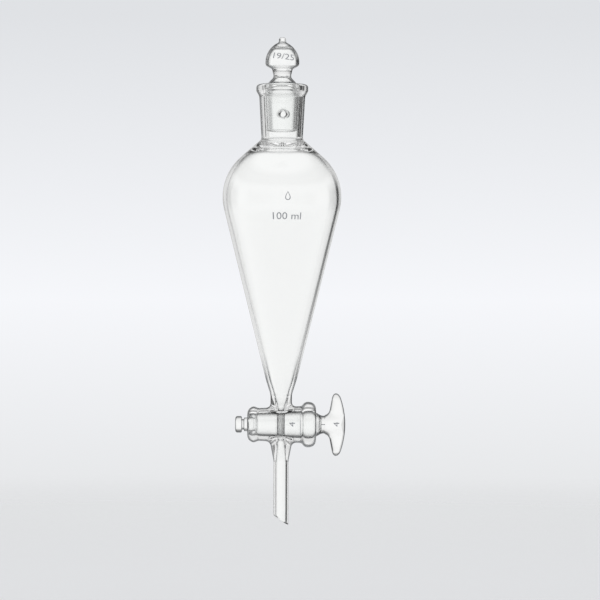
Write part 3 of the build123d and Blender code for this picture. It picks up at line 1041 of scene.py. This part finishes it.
def droplet_shape(height, line):
    """The outline of a drop, with lines of the given width."""
    count = 40
    t = np.arange(count) * 2 * math.pi / count
    edge = np.stack([0.42 * np.sin(t) * np.sin(t / 2) ** 1.5, 0.5 * np.cos(t)], 1) * height
    inner = edge * (1 - 2 * line / height / np.array([0.62, 1.0])) - [0, 0.12 * line]
    shape = bmesh.new()
    rings = [[shape.verts.new((x, y, 0)) for x, y in ring] for ring in (edge, inner)]
    for k in range(count):
        n = (k + 1) % count
        shape.faces.new((rings[0][k], rings[0][n], rings[1][n], rings[1][k]))
    return shape


def bar_shape(width, height):
    """A plain upright rectangle, centred."""
    shape = bmesh.new()
    corners = [(-width, -height), (width, -height), (width, height), (-width, height)]
    shape.faces.new([shape.verts.new((x / 2, y / 2, 0)) for x, y in corners])
    return shape


def mark_mesh(name, shape, onto):
    """A thin closed solid of a flat shape, laid on a surface by onto(across, up, height)."""
    for axis in range(2):
        normal = tuple(float(axis == k) for k in range(3))
        reach = [v.co[axis] for v in shape.verts]
        for place in np.arange(min(reach) + MARK_CELL, max(reach), MARK_CELL):
            everything = shape.verts[:] + shape.edges[:] + shape.faces[:]
            point = tuple(place * n for n in normal)
            bmesh.ops.bisect_plane(shape, geom=everything, plane_co=point, plane_no=normal)
    bmesh.ops.remove_doubles(shape, verts=shape.verts, dist=1e-4)
    new = bmesh.ops.extrude_face_region(shape, geom=shape.faces[:], use_keep_orig=True)["geom"]
    for vert in shape.verts:
        vert.co.z = -MARK_BELOW
    for vert in new:
        if isinstance(vert, bmesh.types.BMVert):
            vert.co.z = MARK_ABOVE
    points = onto(*np.array([v.co[:] for v in shape.verts]).T)
    for vert, point in zip(shape.verts, np.stack(points, 1) * MM + PLUG_AXIS):
        vert.co = point
    bmesh.ops.recalc_face_normals(shape, faces=shape.faces)
    open_edges = [e for e in shape.edges if len(e.link_faces) != 2]
    mesh = bpy.data.meshes.new(name)
    shape.to_mesh(mesh)
    shape.free()
    print(f"{name}: {len(mesh.polygons)} faces, {len(open_edges)} edges not between two faces")
    return mesh


def around_z(path, middle_x, middle_z):
    """Lays a shape on the front of a surface turned about the funnel's axis."""
    def onto(across, up, height):
        middle_r = radius_at(path, middle_z)
        angle = math.asin(middle_x / middle_r) + across / middle_r
        r = radius_at(path, middle_z + up) + height
        return r * np.sin(angle), -r * np.cos(angle), middle_z + up
    return onto


def around_x(radius, middle_x, middle_z):
    """Lays a shape on the front of a surface turned about the plug's axis."""
    def onto(across, up, height):
        r = radius(middle_x + across) + height
        angle = (middle_z + up) / radius(middle_x)
        return middle_x + across, -r * np.cos(angle), r * np.sin(angle)
    return onto


def on_handle(middle_x, middle_z):
    """Lays a shape on the front of the handle, found by halving the range it lies in."""
    def onto(across, up, height):
        x, z = middle_x + across, middle_z + up
        outside, inside = np.full(len(x), -8.0), np.zeros(len(x))
        for _ in range(30):
            middle = (outside + inside) / 2
            solid = plug_handle(np.stack([x, middle, z], 1)) < 0
            inside = np.where(solid, middle, inside)
            outside = np.where(solid, outside, middle)
        return x, inside - height, z
    return onto


def enamel_material():
    """Plain grey print."""
    material, nodes = new_material("grey_enamel")
    shader = nodes.add("ShaderNodeBsdfPrincipled")
    shader.inputs["Base Color"].default_value = (0.30, 0.31, 0.33, 1.0)
    shader.inputs["Roughness"].default_value = 0.5
    nodes.add("ShaderNodeOutputMaterial", shader.outputs[0])
    return material


def add_marks():
    """Each mark with the body it is on, its flat shape and where the middle of it lies."""
    enamel = enamel_material()
    slope = math.radians(-6)
    quarter = math.radians(90)
    knob = STOPPER_OUTER[STOPPER_OUTER[:, 1] > KNOB_BOTTOM_Z + 0.5]
    volume = text_shape("100 ml", 14.3, 3.5)
    droplet = droplet_shape(4.6, 0.45)
    barrel_size = text_shape("4", 2.4, 3.0, quarter)
    socket_size = text_shape("19/25", 11.2, 3.0, slope)
    plug_size = text_shape("4", 2.4, 3.0, quarter)
    tick = bar_shape(1.9, 0.4)
    marks = [
        ("volume_mark", "funnel", volume, around_z(BODY_OUTER, 2.8, 105.5)),
        ("droplet_mark", "funnel", droplet, around_z(BODY_OUTER, 3.2, 115.6)),
        ("barrel_mark", "funnel", barrel_size, around_x(barrel_r, 5.6, 0.5)),
        ("socket_size_mark", "stopper", socket_size, around_z(knob, 0.8, 187.0)),
        ("handle_mark", "plug", plug_size, on_handle(28.1, 0.3)),
        ("neck_mark", "plug", tick, around_x(lambda x: PLUG_NECK_R, 21.4, 0.2)),
    ]
    for name, body, shape, onto in marks:
        add_piece(name, mark_mesh(name, shape, onto), body, enamel)


add_marks()


# Studio ------------------------------------------------------------------------------------------

IMAGE_CENTRE = (9.4, 63.5)      # where the middle of the picture looks, in mm from the plug axis
CAMERA_DISTANCE = 1.3
VIEW_WIDTH = 0.306              # width of the picture at the funnel
CAMERA_ROLL = math.radians(-0.2)
FLOOR_GAP = 0.06                # between the tip of the stem and the floor
FLOOR_RADIUS = 1.3
FLOOR_FADE_RADIUS = 0.25

# Light of the tent, as stops of (place, brightness)
BACKDROP = [                    # behind the funnel, from below to above
    (0.06, (0.735, 0.745, 0.750)),
    (0.50, (0.920, 0.930, 0.960)),
    (0.94, (0.745, 0.760, 0.785)),
]
PANELS = [                      # upright panels, over half a turn, the same on the other half
    (0.000, 1.00), (0.067, 1.00), (0.111, 0.70), (0.133, 0.03), (0.236, 0.03), (0.246, 0.36),
    (0.254, 0.36), (0.264, 0.03), (0.338, 0.05), (0.378, 0.62), (0.400, 0.86), (0.422, 0.92),
    (0.500, 1.00), (0.578, 1.00), (0.600, 0.76), (0.778, 0.68), (0.786, 0.06), (0.817, 0.06),
    (0.825, 0.76), (0.867, 0.92), (0.917, 1.00),
]
LEVELS = [                      # from straight down to straight up
    (0.10, 0.74), (0.30, 0.84), (0.38, 0.93), (0.50, 0.96), (0.60, 0.94), (0.67, 0.84),
    (0.73, 0.36), (0.84, 0.36), (0.92, 1.05),
]
PANEL_BAND = [(0.37, 0.0), (0.45, 1.0), (0.57, 1.0), (0.66, 0.0)]    # where the panels stand
NEAR_SIDE = (0.85, 0.85, 0.85, 1.0)    # plain grey in place of the panels in front


def make_camera():
    """A long lens at the funnel's height, straight on."""
    camera = bpy.data.cameras.new("camera")
    holder = bpy.data.objects.new("camera", camera)
    bpy.context.scene.collection.objects.link(holder)
    camera.sensor_width = 36.0
    camera.lens = camera.sensor_width * CAMERA_DISTANCE / VIEW_WIDTH
    across, up = IMAGE_CENTRE
    holder.location = (across * MM, -CAMERA_DISTANCE, PLUG_AXIS[2] + up * MM)
    holder.rotation_euler = (math.radians(90), CAMERA_ROLL, 0)
    bpy.context.scene.camera = holder


def make_world():
    """A soft light tent. The camera sees a plain pale backdrop. The glass sees the same backdrop
    with darker upright panels between its bright sides, a darker zone above and a soft light on
    top."""
    world = bpy.data.worlds.new("studio")
    bpy.context.scene.world = world
    world.use_nodes = True
    nodes = Nodes(world.node_tree)
    direction = nodes.add("ShaderNodeTexCoord").outputs["Generated"]
    x, y, z = nodes.add("ShaderNodeSeparateXYZ", direction).outputs
    backdrop = nodes.ramp(nodes.math("MULTIPLY_ADD", z, 4.0, 0.5), BACKDROP)
    half_turn = nodes.math("FRACT", nodes.math("DIVIDE", nodes.math("ARCTAN2", y, x), math.pi))
    panels = nodes.ramp(half_turn, PANELS)
    height = nodes.math("MULTIPLY_ADD", z, 0.5, 0.5)
    level = nodes.ramp(height, LEVELS)
    near_side = nodes.add("ShaderNodeMapRange", y, 0.0, -0.5, 0.0, 0.85).outputs["Result"]
    panels = nodes.mix(near_side, panels, NEAR_SIDE)
    band = nodes.ramp(height, PANEL_BAND)
    tent = nodes.mix(band, level, nodes.mix(1.0, level, panels, "MULTIPLY"))
    path = nodes.add("ShaderNodeLightPath").outputs
    lit = nodes.mix(path["Is Diffuse Ray"], tent, (0.95, 0.95, 0.96, 1.0))
    background = nodes.add("ShaderNodeBackground", nodes.mix(path["Is Camera Ray"], lit, backdrop))
    nodes.add("ShaderNodeOutputWorld", background.outputs[0])


def make_floor():
    """A pale round floor under the funnel that fades out into the backdrop."""
    mesh = bpy.data.meshes.new("floor")
    count = 96
    level = PLUG_AXIS[2] + STEM_LONG_Z * MM - FLOOR_GAP
    angles = np.arange(count) * 2 * math.pi / count
    x, y = FLOOR_RADIUS * np.cos(angles), FLOOR_RADIUS * np.sin(angles)
    rim = np.stack([x, y, np.full(count, level)], 1)
    mesh.from_pydata(rim.tolist(), [], [tuple(range(count))])
    floor = bpy.data.objects.new("floor", mesh)
    bpy.context.scene.collection.objects.link(floor)
    material = bpy.data.materials.new("floor")
    material.use_nodes = True
    nodes = Nodes(material.node_tree)
    place = nodes.add("ShaderNodeTexCoord").outputs["Object"]
    flat = nodes.add("ShaderNodeVectorMath", place, (1.0, 1.0, 0.0), operation="MULTIPLY").outputs[0]
    distance = nodes.add("ShaderNodeVectorMath", flat, operation="LENGTH").outputs["Value"]
    fade = nodes.add("ShaderNodeMapRange", distance, interpolation_type="SMOOTHSTEP")
    nodes.set(fade.inputs["From Min"], FLOOR_FADE_RADIUS)
    nodes.set(fade.inputs["From Max"], FLOOR_RADIUS - 0.01)
    below = nodes.add("ShaderNodeNewGeometry").outputs["Backfacing"]
    see_through = nodes.math("MAXIMUM", fade.outputs[0], below)
    pale = nodes.add("ShaderNodeBsdfDiffuse", (0.80, 0.81, 0.82, 1.0))
    clear = nodes.add("ShaderNodeBsdfTransparent")
    mixed = nodes.add("ShaderNodeMixShader", see_through, pale.outputs[0], clear.outputs[0])
    nodes.add("ShaderNodeOutputMaterial", mixed.outputs[0])
    mesh.materials.append(material)
    floor.visible_transmission = False


def set_light_paths():
    """Enough bounces for light to pass every wall of the funnel and the stopper inside it."""
    cycles = bpy.context.scene.cycles
    cycles.max_bounces = 28
    cycles.transmission_bounces = 28
    cycles.glossy_bounces = 12
    cycles.transparent_max_bounces = 12
    bpy.context.scene.view_settings.view_transform = "Standard"


make_camera()
make_world()
make_floor()
set_light_paths()
